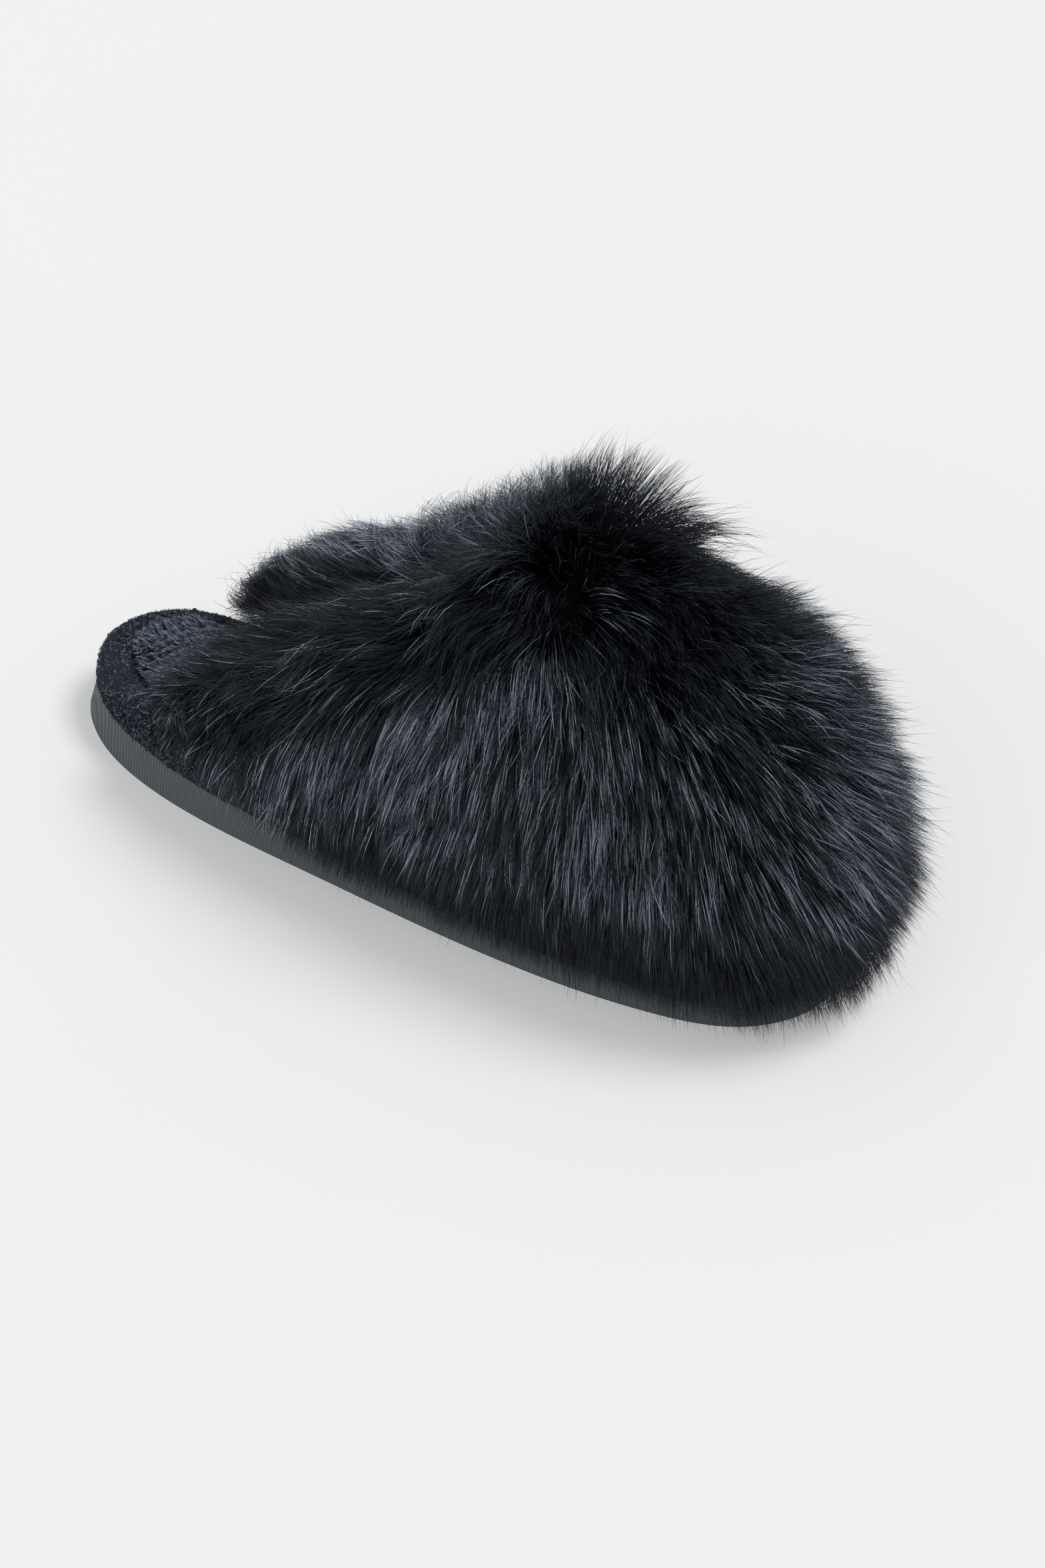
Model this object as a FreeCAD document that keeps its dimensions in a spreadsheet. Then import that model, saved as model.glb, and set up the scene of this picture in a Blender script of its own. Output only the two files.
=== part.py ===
import FreeCAD, Part
import math
import os

# Backless fluffy house slipper, as worn on the right foot. Millimetres.
# +X runs from heel to toe, +Y towards the inner side of the foot, +Z up.
# The origin lies on the ground, under the middle of the bounding box.
# It is slip-lasted: the upper, the sock and the fleece platform cover meet in one
# seam, the cover wraps the midsole, and the outsole is cemented underneath.

SIZES = {
    # Footprint of the sole, from heel back to toe tip, and half widths at six stations.
    "sole_length": 262.0,
    "heel_outer_half": 38.5,
    "heel_inner_half": 34.6,
    "waist_outer_half": 45.6,
    "waist_inner_half": 35.4,
    "ball_outer_half": 47.4,
    "ball_inner_half": 47.2,
    "toe_outer_half": 31.5,
    "toe_inner_half": 32.5,
    # Outsole
    "sole_heel_thick": 12.9,
    "sole_toe_thick": 5.8,
    "sole_flare": 1.5,
    "tread_depth": 1.2,
    "tread_width": 3.0,
    "tread_pitch": 12.0,
    "tread_margin": 9.0,
    # Platform, measured square to the top face of the outsole
    "board_thick": 1.2,
    "midsole_thick": 5.8,
    "cover_thick": 2.0,
    "cover_border": 11.0,
    "cover_round": 4.5,
    "foam_thick": 2.0,
    "sock_thick": 3.6,
    "sock_round": 2.4,
    "ditch_width": 1.4,
    "layer_gap": 0.1,
    "thread_thick": 1.0,
    # Upper, outer envelope of the pile
    "upper_back": 44.0,
    "throat_x": 160.0,
    "throat_height": 137.0,
    "corner_height": 34.0,
    "collar_half": 41.0,
    "pile_side": 9.0,
    "pile_toe": 11.0,
    "pile_belly": 20.0,
    # Upper, inner face of the lining
    "throat_inner_x": 142.0,
    "throat_inner_height": 96.0,
    "corner_inner_height": 32.0,
    "collar_inner_half": 30.0,
    "lining_inset": 10.8,
    "arch_power": 0.92,
    "cuff_width": 28.0,
    "cuff_seam": 0.014,
    # Where one layer of the upper ends and the next begins, 0 outside and 1 inside
    "pile_share": 0.72,
    "padding_share": 0.86,
    "share_gap": 0.01,
    # Shift of the heel back from the origin
    "heel_offset": 138.48,
    "side_offset": 1.05,
}

doc = FreeCAD.newDocument("house_slipper")
sheet = doc.addObject("Spreadsheet::Sheet", "sizes")
for row, (alias, value) in enumerate(SIZES.items(), start=1):
    sheet.set(f"A{row}", alias.replace("_", " "))
    sheet.set(f"B{row}", str(value))
    sheet.setAlias(f"B{row}", alias)
doc.recompute()

SIDE_SAMPLES = 24          # points along a meridian when its length is measured
STATIONS = 19              # meridians that each layer of the upper is lofted through
MERIDIAN_POINTS = 7        # points on one meridian of a layer
SUB_PARTS = []


def size(alias):
    return float(sheet.get(alias))


def mix(low, high, share):
    return low + (high - low) * share


# ---------------------------------------------------------------- footprint

def footprint_points():
    """Corner points of the footprint, counter-clockwise from the heel back."""
    length = size("sole_length")
    return [
        FreeCAD.Vector(0.0, 1.0, 0),
        FreeCAD.Vector(0.055 * length, -0.67 * size("heel_outer_half"), 0),
        FreeCAD.Vector(0.15 * length, -size("heel_outer_half"), 0),
        FreeCAD.Vector(0.38 * length, -size("waist_outer_half"), 0),
        FreeCAD.Vector(0.65 * length, -size("ball_outer_half"), 0),
        FreeCAD.Vector(0.84 * length, -0.87 * size("ball_outer_half"), 0),
        FreeCAD.Vector(0.93 * length, -size("toe_outer_half"), 0),
        FreeCAD.Vector(length, 2.0, 0),
        FreeCAD.Vector(0.94 * length, size("toe_inner_half"), 0),
        FreeCAD.Vector(0.86 * length, 0.93 * size("ball_inner_half"), 0),
        FreeCAD.Vector(0.73 * length, size("ball_inner_half"), 0),
        FreeCAD.Vector(0.54 * length, 1.14 * size("waist_inner_half"), 0),
        FreeCAD.Vector(0.31 * length, size("waist_inner_half"), 0),
        FreeCAD.Vector(0.13 * length, size("heel_inner_half"), 0),
        FreeCAD.Vector(0.045 * length, 0.77 * size("heel_inner_half"), 0),
    ]


def smooth_loop(points):
    curve = Part.BSplineCurve()
    curve.interpolate(Points=points, PeriodicFlag=True)
    return curve


FOOTPRINT = smooth_loop(footprint_points())


def rightward(along):
    """Unit vector to the right of a direction, which is outwards on the footprint."""
    return FreeCAD.Vector(along.y, -along.x, 0).normalize()


def outward(parameter):
    return rightward(FOOTPRINT.tangent(parameter)[0])


def arc_through(start, along, end):
    """Arc leaving start along a direction and reaching end, as three (point, outward) pairs."""
    chord = end - start
    across = rightward(chord)
    turn = math.atan2(along.x * chord.y - along.y * chord.x, along.dot(chord))
    middle = (start + end) / 2 + across * (chord.Length / 2 * math.tan(turn / 2))
    leaving = FreeCAD.Rotation(FreeCAD.Vector(0, 0, 1), math.degrees(turn)).multVec(chord)
    return [(start, rightward(along)), (middle, across), (end, rightward(leaving))], leaving


def arc_chain():
    """The footprint as tangent arcs, two between each pair of its corner points."""
    corners = footprint_points()
    alongs = [FOOTPRINT.tangent(FOOTPRINT.parameter(corner))[0] for corner in corners]
    arcs = []
    for index in range(len(corners)):
        start, end = corners[index - 1], corners[index]
        leave, arrive = alongs[index - 1], alongs[index]
        gap = end - start
        spread = 2 * (1 - leave.dot(arrive))
        lean = gap.dot(leave + arrive)
        handle = (math.sqrt(lean * lean + spread * gap.dot(gap)) - lean) / spread
        joint = (start + end + (leave - arrive) * handle) / 2
        first, turned = arc_through(start, leave, joint)
        second, turned = arc_through(joint, turned, end)
        arcs.extend([first, second])
    return arcs


ARCS = arc_chain()


def footprint(inset):
    """Edges of the footprint moved inwards by inset."""
    edges = []
    for arc in ARCS:
        points = [point - away * inset for point, away in arc]
        edges.append(Part.Arc(*points))
    return edges


def platform(inset):
    """Edges of the platform's outline, which is the footprint less the sole's flare."""
    return footprint(size("sole_flare") + inset)


# ------------------------------------------------------------ object helpers

def origin_plane(body, role):
    for feature in body.Origin.OriginFeatures:
        if feature.Role == role:
            return feature
    raise ValueError(role)


def add_body(label):
    body = doc.addObject("PartDesign::Body", label)
    body.Label = label
    SUB_PARTS.append(body)
    return body


def add_sketch(body, name, role, curves, lift=None):
    sketch = body.newObject("Sketcher::SketchObject", name)
    sketch.AttachmentSupport = [(origin_plane(body, role), "")]
    sketch.MapMode = "FlatFace"
    for curve in curves:
        sketch.addGeometry(curve, False)
    if lift:
        sketch.setExpression("AttachmentOffset.Base.z", lift)
    return sketch


def add_pad(body, sketch, length):
    pad = body.newObject("PartDesign::Pad", sketch.Name + "_pad")
    pad.Profile = sketch
    pad.setExpression("Length", length)
    doc.recompute()
    return pad


def add_pocket(body, sketch, length, reverse=False, both_ways=False):
    before = body.Shape.Volume
    pocket = body.newObject("PartDesign::Pocket", sketch.Name + "_pocket")
    pocket.Profile = sketch
    pocket.Reversed = reverse
    pocket.SideType = "Symmetric" if both_ways else "One side"
    pocket.setExpression("Length", length)
    doc.recompute()
    if not body.Shape.Volume < before:
        raise ValueError(sketch.Name + " cuts nothing")
    return pocket


def closed_lines(corners):
    """Straight sketch edges round a list of (x, y) corners."""
    vectors = [FreeCAD.Vector(x, y, 0) for x, y in corners]
    return [Part.LineSegment(vectors[i - 1], vectors[i]) for i in range(len(vectors))]


def place(part, lift):
    """Stand a sub-part on the tilted top of the outsole, lift above it."""
    tilt = "atan((sizes.sole_heel_thick - sizes.sole_toe_thick) / sizes.sole_length)"
    part.Placement.Rotation = FreeCAD.Rotation(FreeCAD.Vector(0, 1, 0), 1.0)
    part.setExpression("Placement.Rotation.Angle", tilt)
    part.setExpression("Placement.Base.x", f"({lift}) * sin({tilt}) - sizes.heel_offset")
    part.setExpression("Placement.Base.y", "-sizes.side_offset")
    part.setExpression("Placement.Base.z", f"sizes.sole_heel_thick + ({lift}) * cos({tilt})")


def edges_at(solid, height):
    """Names of a feature's edges that lie at one height, in the body's own frame."""
    names = []
    for number, edge in enumerate(solid.Shape.Edges, start=1):
        box = edge.BoundBox
        if abs(box.ZMin - height) < 0.01 and abs(box.ZMax - height) < 0.01:
            names.append(f"Edge{number}")
    return names


def round_top(body, height, radius):
    solid = body.Tip
    fillet = body.newObject("PartDesign::Fillet", body.Name + "_round")
    fillet.Base = (solid, edges_at(solid, height))
    fillet.setExpression("Radius", radius)
    doc.recompute()


# -------------------------------------------------------------------- outsole

def make_outsole():
    """Wedge-shaped sole with flared sides and cross grooves in the tread."""
    body = add_body("outsole")
    low = add_sketch(body, "sole_foot", "XY_Plane", footprint(0))
    high = add_sketch(body, "sole_head", "XY_Plane", platform(0), "sizes.sole_heel_thick")
    loft = body.newObject("PartDesign::AdditiveLoft", "sole_loft")
    loft.Profile = low
    loft.Sections = [high]
    loft.Ruled = True
    doc.recompute()

    length = size("sole_length")
    heel = size("sole_heel_thick")
    drop = heel - size("sole_toe_thick")
    wedge = closed_lines([(-length, heel + drop), (2 * length, heel - 2 * drop),
                          (2 * length, 3 * heel), (-length, 3 * heel)])
    slope = add_sketch(body, "sole_slope", "XZ_Plane", wedge)
    add_pocket(body, slope, "sizes.sole_length", both_ways=True)

    groove_half = size("tread_width") / 2
    start = size("tread_margin") + groove_half + size("tread_pitch")
    reach = size("ball_outer_half") * 2
    groove = closed_lines([(start - groove_half, -reach), (start + groove_half, -reach),
                           (start + groove_half, reach), (start - groove_half, reach)])
    tread = add_sketch(body, "tread_groove", "XY_Plane", groove)
    pocket = add_pocket(body, tread, "sizes.tread_depth", reverse=True)
    pattern = body.newObject("PartDesign::LinearPattern", "tread_pattern")
    pattern.Originals = [pocket]
    pattern.Direction = (origin_plane(body, "X_Axis"), [""])
    count = int((length - 2 * start) / size("tread_pitch")) + 1
    pattern.Occurrences = count
    pattern.setExpression("Length", f"sizes.tread_pitch * {count - 1}")
    body.Tip = pattern
    doc.recompute()
    body.setExpression("Placement.Base.x", "-sizes.heel_offset")
    body.setExpression("Placement.Base.y", "-sizes.side_offset")


# ------------------------------------------------------------------- platform

def make_layer(label, inset, thickness, lift):
    """One flat layer of the platform, cut to the footprint less inset."""
    body = add_body(label)
    sketch = add_sketch(body, label + "_outline", "XY_Plane", platform(inset))
    add_pad(body, sketch, thickness)
    place(body, lift)
    return body


def make_platform_cover():
    """Fleece cover: a side wall round the midsole and a border on top of it."""
    body = add_body("platform_cover")
    height = size("board_thick") + size("midsole_thick") + size("cover_thick")
    outline = add_sketch(body, "cover_outline", "XY_Plane", platform(0))
    add_pad(body, outline, "sizes.board_thick + sizes.midsole_thick + sizes.cover_thick")
    round_top(body, height, "sizes.cover_round")
    window = add_sketch(body, "cover_window", "XY_Plane", platform(size("cover_border")))
    add_pocket(body, window, "2 * sizes.cover_thick + sizes.midsole_thick + sizes.board_thick",
               reverse=True)
    core = add_sketch(body, "cover_core", "XY_Plane", platform(size("cover_thick")))
    add_pocket(body, core, "sizes.board_thick + sizes.midsole_thick", reverse=True)
    place(body, "0")


def make_platform():
    core_inset = size("cover_thick") + size("layer_gap")
    pad_inset = size("cover_border") + size("ditch_width")
    make_layer("bottom_board", core_inset, "sizes.board_thick", "0")
    make_layer("midsole_foam", core_inset, "sizes.midsole_thick", "sizes.board_thick")
    make_platform_cover()
    deck = "sizes.board_thick + sizes.midsole_thick"
    make_layer("comfort_foam", pad_inset, "sizes.foam_thick", deck)
    sock = make_layer("plush_sock", pad_inset, "sizes.sock_thick", deck + " + sizes.foam_thick")
    round_top(sock, size("sock_thick"), "sizes.sock_round")

    thread = add_body("footbed_seam_thread")
    spare = (size("ditch_width") - size("thread_thick")) / 2
    ring = platform(size("cover_border") + spare) + platform(pad_inset - spare)
    sketch = add_sketch(thread, "seam_ring", "XY_Plane", ring)
    add_pad(thread, sketch, "sizes.thread_thick")
    place(thread, deck)


# ---------------------------------------------------------------------- upper

def deck_height(x):
    """Height above ground of the platform cover's top, x measured from the heel back."""
    slope = (size("sole_heel_thick") - size("sole_toe_thick")) / size("sole_length")
    stack = size("board_thick") + size("midsole_thick") + size("cover_thick")
    return size("sole_heel_thick") - slope * x + stack + 3 * size("layer_gap")


def side_parameter(sign):
    """Parameter where the footprint passes the upper's back corner on one side."""
    first, last = FOOTPRINT.FirstParameter, FOOTPRINT.LastParameter
    middle = FOOTPRINT.parameter(footprint_points()[7])
    low, high = (first, middle) if sign < 0 else (middle, last)
    rising = sign < 0
    for step in range(50):
        guess = (low + high) / 2
        beyond = FOOTPRINT.value(guess).x > size("upper_back")
        if beyond == rising:
            high = guess
        else:
            low = guess
    return (low + high) / 2


OUTER_CORNER = side_parameter(-1)
INNER_CORNER = side_parameter(1)
BASE_ARC = FOOTPRINT.length(OUTER_CORNER, INNER_CORNER)


def base_point(turn, depth):
    """Foot of a meridian. turn runs from -1 at the outer back corner to 1 at the inner."""
    way = (turn + 1) / 2 * BASE_ARC
    parameter = FOOTPRINT.parameterAtDistance(way, OUTER_CORNER)
    square = outward(parameter)
    pure = FreeCAD.Vector(0, math.copysign(1.0, turn), 0)
    square = (square * (1 - abs(turn) ** 6) + pure * abs(turn) ** 6).normalize()
    pile = mix(size("pile_side"), size("pile_toe"), math.cos(turn * math.pi / 2) ** 4)
    reach = mix(pile, -size("lining_inset"), depth) - size("sole_flare")
    point = FOOTPRINT.value(parameter) + square * reach
    point.z = deck_height(point.x)
    return point, square


def topline_point(turn, depth):
    """Point on the edge of the foot opening, for the same turn and depth."""
    angle = turn * math.pi / 2
    forward = math.cos(angle) ** 1.3 if abs(turn) < 1 else 0.0
    throat_x = mix(size("throat_x"), size("throat_inner_x"), depth)
    throat = mix(size("throat_height"), size("throat_inner_height"), depth)
    corner = mix(size("corner_height"), size("corner_inner_height"), depth)
    half = mix(size("collar_half"), size("collar_inner_half"), depth)
    return FreeCAD.Vector(mix(size("upper_back"), throat_x, forward), half * math.sin(angle),
                          mix(corner, throat, forward ** 0.7))


def meridian(turn, depth, start, end):
    """Points up the upper at one turn, from start to end along its length, 0 to 1."""
    foot, square = base_point(turn, depth)
    head = topline_point(turn, depth)
    belly = size("pile_belly") * (1 - depth) * math.cos(turn * math.pi / 2) ** 2
    path = []
    for step in range(SIDE_SAMPLES + 1):
        angle = math.pi / 2 * step / SIDE_SAMPLES
        flat = max(math.cos(angle), 0.0) ** size("arch_power")
        rise = math.sin(angle) ** size("arch_power")
        bulge = square * (belly * math.sin(2 * angle) * math.cos(angle) ** 2)
        path.append(FreeCAD.Vector(mix(head.x, foot.x, flat), mix(head.y, foot.y, flat),
                                   mix(foot.z, head.z, rise)) + bulge)
    lengths = [0.0]
    for one, other in zip(path, path[1:]):
        lengths.append(lengths[-1] + one.distanceToPoint(other))
    points = []
    for step in range(MERIDIAN_POINTS):
        target = mix(start, end, step / (MERIDIAN_POINTS - 1)) * lengths[-1]
        index = max(i for i in range(SIDE_SAMPLES) if lengths[i] <= target + 1e-9)
        share = (target - lengths[index]) / (lengths[index + 1] - lengths[index])
        points.append(path[index] + (path[index + 1] - path[index]) * min(share, 1.0))
    return points


def cuff_start(turn):
    """Where the cuff begins along a meridian, 0 to 1."""
    reach = base_point(turn, 0)[0].distanceToPoint(topline_point(turn, 0)) * 1.15
    return 1 - min(size("cuff_width") / reach, 0.55)


def upper_section(turn, outside, inside, low, high):
    """Closed wire round one layer of the upper at one turn."""
    outer = meridian(turn, outside, low, high)
    inner = meridian(turn, inside, low, high)
    edges = []
    for points in (outer, list(reversed(inner))):
        curve = Part.BSplineCurve()
        curve.interpolate(Points=points)
        edges.append(curve.toShape())
    edges.insert(1, Part.LineSegment(outer[-1], inner[-1]).toShape())
    edges.append(Part.LineSegment(inner[0], outer[0]).toShape())
    return Part.Wire(edges)


def make_upper_layer(label, outside, inside, low, high):
    """Layer of the upper, lofted through its sections from one back corner to the other."""
    wires = []
    for step in range(STATIONS):
        turn = -1 + 2 * step / (STATIONS - 1)
        wires.append(upper_section(turn, outside, inside, low(turn), high(turn)))
    solid = Part.makeLoft(wires, True, False)
    if solid.Volume < 0:
        solid.reverse()
    part = doc.addObject("Part::Feature", label)
    part.Label = label
    part.Shape = solid
    part.setExpression("Placement.Base.x", "-sizes.heel_offset")
    part.setExpression("Placement.Base.y", "-sizes.side_offset")
    SUB_PARTS.append(part)


def make_upper():
    gap = size("share_gap")
    pile = size("pile_share")
    padding = size("padding_share")
    seam = size("cuff_seam")

    def foot(turn):
        return 0.0

    def below_cuff(turn):
        return cuff_start(turn) - seam

    def above_seam(turn):
        return cuff_start(turn) + gap

    def top(turn):
        return 1.0

    def thread_low(turn):
        return cuff_start(turn) - seam / 2

    def thread_high(turn):
        return cuff_start(turn) - seam / 6

    make_upper_layer("fur_vamp", 0.0, pile - gap, foot, below_cuff)
    make_upper_layer("upper_padding", pile, padding - gap, foot, below_cuff)
    make_upper_layer("plush_lining", padding, 1.0, foot, below_cuff)
    make_upper_layer("collar_seam_tape", pile, padding, thread_low, thread_high)
    make_upper_layer("fur_collar", 0.0, 1.0, above_seam, top)


# --------------------------------------------------------------------- export

def check_and_write():
    doc.recompute()
    for item in doc.Objects:
        if "Invalid" in item.State or "Error" in item.State:
            raise ValueError("bad object " + item.Name)
    os.makedirs("parts", exist_ok=True)
    for part in SUB_PARTS:
        if part.Shape.isNull() or not part.Shape.isValid():
            raise ValueError("bad shape " + part.Label)
    whole = FreeCAD.BoundBox()
    for part in SUB_PARTS:
        part.Shape.exportStep("parts/" + part.Label + ".step")
        whole.add(part.Shape.BoundBox)
        print(part.Label, len(part.Shape.Solids), round(part.Shape.Volume), part.Shape.BoundBox)
    print("all", whole)


make_outsole()
make_platform()
make_upper()
check_and_write()
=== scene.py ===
import math

import bpy
import numpy as np
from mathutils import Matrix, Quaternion, Vector, kdtree


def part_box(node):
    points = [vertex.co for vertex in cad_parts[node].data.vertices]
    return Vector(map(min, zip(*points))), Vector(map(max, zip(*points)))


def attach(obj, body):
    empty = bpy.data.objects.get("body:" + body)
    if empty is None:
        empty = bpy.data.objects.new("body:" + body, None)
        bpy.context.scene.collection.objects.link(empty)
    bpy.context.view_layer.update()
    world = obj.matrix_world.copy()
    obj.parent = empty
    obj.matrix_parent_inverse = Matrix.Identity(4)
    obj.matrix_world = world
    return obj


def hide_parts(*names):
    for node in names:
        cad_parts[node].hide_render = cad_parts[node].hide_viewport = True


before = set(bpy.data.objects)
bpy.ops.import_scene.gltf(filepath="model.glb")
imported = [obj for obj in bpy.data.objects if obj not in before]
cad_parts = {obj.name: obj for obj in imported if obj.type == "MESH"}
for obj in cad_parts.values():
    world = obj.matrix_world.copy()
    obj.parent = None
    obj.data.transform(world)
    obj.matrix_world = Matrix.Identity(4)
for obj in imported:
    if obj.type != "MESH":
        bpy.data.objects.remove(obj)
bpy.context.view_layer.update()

# Fluffy house slipper. Metres, in the CAD model's frame: +X to the toe, +Y to the inner
# side of the foot, +Z up. The fur is real geometry: tapered strands that grow out of the
# upper's backing, combed as on the real slipper.

RANDOM = np.random.default_rng(59)
MM = 0.001
SHARE = 1.0
VAMP_STRANDS = 68000
CUFF_STRANDS = 40000
SHORT_FIBRES = 34000                       # on the border, and as many on the footbed

# --- measures

SOLE_LOW, SOLE_HIGH = (np.array(corner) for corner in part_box("outsole"))
VAMP_LOW = np.array(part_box("fur_vamp")[0])
LENGTH = SOLE_HIGH[0] - SOLE_LOW[0]

SOLE_HEEL = SOLE_HIGH[2]
SOLE_TOE = 5.8 * MM
FLARE = 1.5 * MM
COVER_HEIGHT = 9.0 * MM
COVER_ROUND = 4.5 * MM
BORDER = 11.0 * MM
SOCK_INSET = BORDER + 0.3 * MM
SOCK_RISE = 3.6 * MM                       # top of the sock above the border
SOCK_SINK = 0.6 * MM                       # its pad lies this much lower, under its pile
SOCK_ROUND = 2.4 * MM
SOCK_STEPS = 480
HATCH = 1.8 * MM                           # pitch of the cross-hatch on the sole's side

UPPER_BACK = VAMP_LOW[0]
THROAT_X = SOLE_LOW[0] + 160 * MM
THROAT_Z = 137 * MM
CORNER_Z = 34 * MM
COLLAR_HALF = 41 * MM
THROAT_INNER_X = SOLE_LOW[0] + 142 * MM
THROAT_INNER_Z = 96 * MM
CORNER_INNER_Z = 32 * MM
COLLAR_INNER_HALF = 30 * MM
PILE_SIDE = 9 * MM
PILE_TOE = 11 * MM
PILE_BELLY = 20 * MM
LINING_INSET = 10.8 * MM
CUFF_WIDTH = 28 * MM
BACKING = 0.70                             # depth of the fur fabric, 0 outside to 1 inside
BACKING_RISE = 0.27                        # how much nearer the outside it is in front
FUR_TURN = 0.995                           # the pile ends just short of both back corners
HIGHEST_TIP = 0.1505                       # loose tips may stand this high

# The slipper was combed by gravity while it stood a little nose down.
HANG = np.array([0.18, 0.0, -0.98])


def mix(low, high, share):
    return low + (high - low) * share


def smooth_step(value, low, high):
    share = np.clip((value - low) / (high - low), 0, 1)
    return share * share * (3 - 2 * share)


def unit(vectors):
    return vectors / np.maximum(np.linalg.norm(vectors, axis=-1, keepdims=True), 1e-12)


def dot(one, other):
    return (one * other).sum(-1, keepdims=True)


# --- footprint

def spline_loop(corners, count):
    """Points spread along a closed cubic spline through corners, chord-length parameter."""
    total = len(corners)
    steps = np.linalg.norm(np.roll(corners, -1, 0) - corners, axis=1)
    system = np.zeros((total, total))
    right = np.zeros((total, corners.shape[1]))
    for i in range(total):
        before, after = steps[i - 1], steps[i]
        system[i, i - 1] = before
        system[i, i] = 2 * (before + after)
        system[i, (i + 1) % total] = after
        right[i] = 6 * ((corners[(i + 1) % total] - corners[i]) / after
                        - (corners[i] - corners[i - 1]) / before)
    bend = np.linalg.solve(system, right)
    knots = np.concatenate([[0], np.cumsum(steps)])
    places = np.linspace(0, knots[-1], count, endpoint=False)
    span = np.clip(np.searchsorted(knots, places, side="right") - 1, 0, total - 1)
    nxt = (span + 1) % total
    width = steps[span][:, None]
    ahead = (knots[span + 1] - places)[:, None]
    behind = (places - knots[span])[:, None]
    return (bend[span] * ahead ** 3 / (6 * width) + bend[nxt] * behind ** 3 / (6 * width)
            + (corners[span] / width - bend[span] * width / 6) * ahead
            + (corners[nxt] / width - bend[nxt] * width / 6) * behind)


FOOT_CORNERS = np.array([      # share of the length, half width in millimetres
    (0.0, 1.0), (0.055, -25.8), (0.15, -38.5), (0.38, -45.6), (0.65, -47.4),
    (0.84, -41.2), (0.93, -31.5), (1.0, 2.0), (0.94, 32.5), (0.86, 43.9),
    (0.73, 47.2), (0.54, 40.4), (0.31, 35.4), (0.13, 34.6), (0.045, 26.6)])
FOOT = spline_loop(FOOT_CORNERS * [LENGTH, MM], 2400)
HEEL = SOLE_LOW[:2] - FOOT.min(0)          # middle of the back edge of the sole
FOOT = FOOT + HEEL
FOOT_ALONG = unit(np.roll(FOOT, -1, 0) - np.roll(FOOT, 1, 0))
FOOT_OUT = np.stack([FOOT_ALONG[:, 1], -FOOT_ALONG[:, 0]], 1)


def outline(inset, count):
    """Closed outline of the platform moved inwards by inset, as count points."""
    picks = np.linspace(0, len(FOOT), count, endpoint=False).astype(int)
    return FOOT[picks] - FOOT_OUT[picks] * (FLARE + inset)


def sole_top(x):
    """Height of the tilted top of the outsole."""
    return SOLE_HEEL - (SOLE_HEEL - SOLE_TOE) * (x - HEEL[0]) / LENGTH


def deck(x):
    """Height of the platform's border."""
    return sole_top(x) + COVER_HEIGHT


# --- upper

OUTER_CORNER = int(np.argmax(FOOT[:, 0] > UPPER_BACK))
INNER_CORNER = len(FOOT) - 1 - int(np.argmax(FOOT[::-1, 0] > UPPER_BACK))
BASE = FOOT[OUTER_CORNER:INNER_CORNER + 1]
BASE_OUT = FOOT_OUT[OUTER_CORNER:INNER_CORNER + 1]
BASE_WAY = np.concatenate([[0], np.cumsum(np.linalg.norm(np.diff(BASE, axis=0), axis=1))])
BASE_WAY /= BASE_WAY[-1]
TURNS = np.linspace(-1, 1, 301)
RISES = np.linspace(0, 1, 121)


def upper_grid(depth):
    """Points of one surface of the upper, turns by rises. Turn is -1 at the outer back
    corner, 0 at the toe and 1 at the inner corner. Rise is 0 at the sole, 1 at the topline."""
    way = (TURNS + 1) / 2
    square = np.stack([np.interp(way, BASE_WAY, BASE_OUT[:, i]) for i in range(2)], 1)
    pure = np.stack([np.zeros_like(TURNS), np.sign(TURNS)], 1)
    square = unit(mix(square, pure, (np.abs(TURNS) ** 6)[:, None]))
    pile = mix(PILE_SIDE, PILE_TOE, np.cos(TURNS * np.pi / 2) ** 4)
    reach = mix(pile, -LINING_INSET, depth) - FLARE
    foot = np.stack([np.interp(way, BASE_WAY, BASE[:, i]) for i in range(2)], 1)
    foot = foot + square * reach[:, None]
    foot = np.column_stack([foot, deck(foot[:, 0])])
    angle = TURNS * np.pi / 2
    forward = np.maximum(np.cos(angle), 0) ** 1.3
    head = np.stack([mix(UPPER_BACK, mix(THROAT_X, THROAT_INNER_X, depth), forward),
                     HEEL[1] + mix(COLLAR_HALF, COLLAR_INNER_HALF, depth) * np.sin(angle),
                     mix(mix(CORNER_Z, CORNER_INNER_Z, depth),
                         mix(THROAT_Z, THROAT_INNER_Z, depth), forward ** 0.7)], 1)
    swing = np.linspace(0, np.pi / 2, 97)
    flat = np.maximum(np.cos(swing), 0) ** 0.92
    lift = np.sin(swing) ** 0.92
    belly = PILE_BELLY * (1 - depth) * np.cos(angle) ** 2
    bulge = belly[:, None] * (np.sin(2 * swing) * np.cos(swing) ** 2)[None]
    path = np.empty((len(TURNS), len(swing), 3))
    for axis in range(2):
        path[..., axis] = (mix(head[:, None, axis], foot[:, None, axis], flat[None])
                           + bulge * square[:, None, axis])
    path[..., 2] = mix(foot[:, None, 2], head[:, None, 2], lift[None])
    grid = np.empty((len(TURNS), len(RISES), 3))
    for i in range(len(TURNS)):
        steps = np.linalg.norm(np.diff(path[i], axis=0), axis=1)
        way = np.concatenate([[0], np.cumsum(steps)])
        for axis in range(3):
            grid[i, :, axis] = np.interp(RISES * way[-1], way, path[i, :, axis])
    return grid


OUTER_GRID = upper_grid(0.0)
INNER_GRID = upper_grid(1.0)
CUFF_START = 1 - np.minimum(
    CUFF_WIDTH / (np.linalg.norm(OUTER_GRID[:, 0] - OUTER_GRID[:, -1], axis=1) * 1.15), 0.55)


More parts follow.
